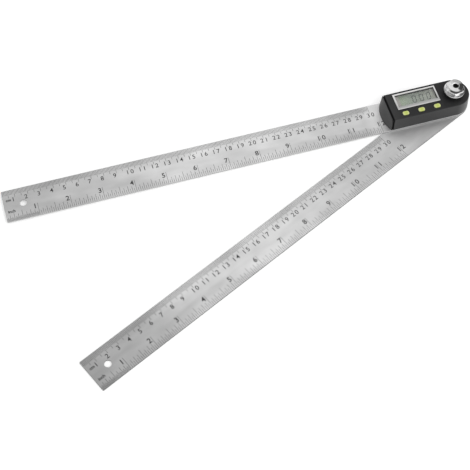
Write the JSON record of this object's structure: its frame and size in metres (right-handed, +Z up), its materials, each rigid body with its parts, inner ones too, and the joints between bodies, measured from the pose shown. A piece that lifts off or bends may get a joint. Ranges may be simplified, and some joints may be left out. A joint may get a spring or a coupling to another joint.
{
  "type": "digital angle finder",
  "caption": "Two pivoted steel rules with a digital display head, rounded buttons, a battery drawer and a hexagon locking knob, for measuring angles and lengths.",
  "frame": {"origin": "on the pivot axis, in the plane of the lower rule's underside, which rests on the table", "axes": "+Z up along the pivot axis, -X along the upper rule to its free end, +Y to the upper rule's centimetre edge; the lower rule is open 24.5 degrees about +Z, so its free end lies at -X, -Y"},
  "size_m": [0.3819, 0.179, 0.0244],
  "materials": {
    "blade_steel": "brushed stainless rule with dark filled marks",
    "case_plastic": "fine textured black moulding",
    "boss_black": "smooth black",
    "bezel_silver": "satin silver",
    "clear_window": "clear",
    "display": "grey-green liquid crystal display",
    "holder_white": "moulded white",
    "contact_rubber": "layered rubber",
    "button_lime": "yellow-green, soft sheen",
    "spring_metal": "plated spring sheet",
    "knob_chrome": "polished chrome over turned metal",
    "turned_steel": "turned steel",
    "bush_brass": "turned brass",
    "board_green": "solder mask",
    "potting_black": "epoxy",
    "part_grey": "ceramic",
    "cell_steel": "nickel plated can"
  },
  "bodies": {
    "upper_arm": {"upper_blade": "blade_steel", "pivot_bush": "bush_brass", "head_housing": "case_plastic", "base_plate": "case_plastic", "base_screws": "turned_steel", "lcd_bezel": "bezel_silver", "lcd_window": "clear_window", "lcd_glass": "display", "lcd_holder": "holder_white", "zebra_strips": "contact_rubber", "contact_positive": "spring_metal", "contact_negative": "spring_metal", "main_board": "board_green", "board_screws": "turned_steel", "chip_cover": "potting_black", "board_parts": "part_grey", "boss_ring": "boss_black", "power_dome": "spring_metal", "hold_dome": "spring_metal", "zero_dome": "spring_metal"},
    "lower_arm": {"lower_blade": "blade_steel", "friction_washer": "holder_white", "pivot_shaft": "turned_steel", "spring_washer": "spring_metal", "retaining_clip": "spring_metal", "rotor_hub": "bush_brass", "encoder_rotor": "board_green"},
    "battery_drawer": {"battery_cover": "case_plastic", "coin_cell": "cell_steel"},
    "power_key": {"power_button": "button_lime"},
    "hold_key": {"hold_button": "button_lime"},
    "zero_key": {"zero_button": "button_lime"},
    "thrust_ring": {"thrust_washer": "boss_black"},
    "knob": {"lock_knob": "knob_chrome"}
  },
  "joints": [
    {"name": "arm_pivot", "type": "hinge", "parent": "upper_arm", "child": "lower_arm", "pos_m": [0, 0, 0], "axis": [0, 0, 1], "continuous": true},
    {"name": "washer_lift", "type": "slide", "parent": "lower_arm", "child": "thrust_ring", "axis": [0, 0, 1], "range_m": [0, 0.0007]},
    {"name": "knob_screw", "type": "hinge", "parent": "thrust_ring", "child": "knob", "pos_m": [0, 0, 0.0184], "axis": [0, 0, 1], "range_deg": [0, 360]},
    {"name": "battery_slide", "type": "slide", "parent": "upper_arm", "child": "battery_drawer", "axis": [-1, 0, 0], "range_m": [0, 0.0225]},
    {"name": "power_press", "type": "slide", "parent": "upper_arm", "child": "power_key", "axis": [0, 0, -1], "range_m": [0, 0.0005], "stiffness_N_per_m": 3000, "deforming": ["power_dome"]},
    {"name": "hold_press", "type": "slide", "parent": "upper_arm", "child": "hold_key", "axis": [0, 0, -1], "range_m": [0, 0.0005], "stiffness_N_per_m": 3000, "deforming": ["hold_dome"]},
    {"name": "zero_press", "type": "slide", "parent": "upper_arm", "child": "zero_key", "axis": [0, 0, -1], "range_m": [0, 0.0005], "stiffness_N_per_m": 3000, "deforming": ["zero_dome"]}
  ],
  "couplings": [
    {"joint": "washer_lift", "follows": "knob_screw", "m_per_rad": 0.0001114}
  ]
}
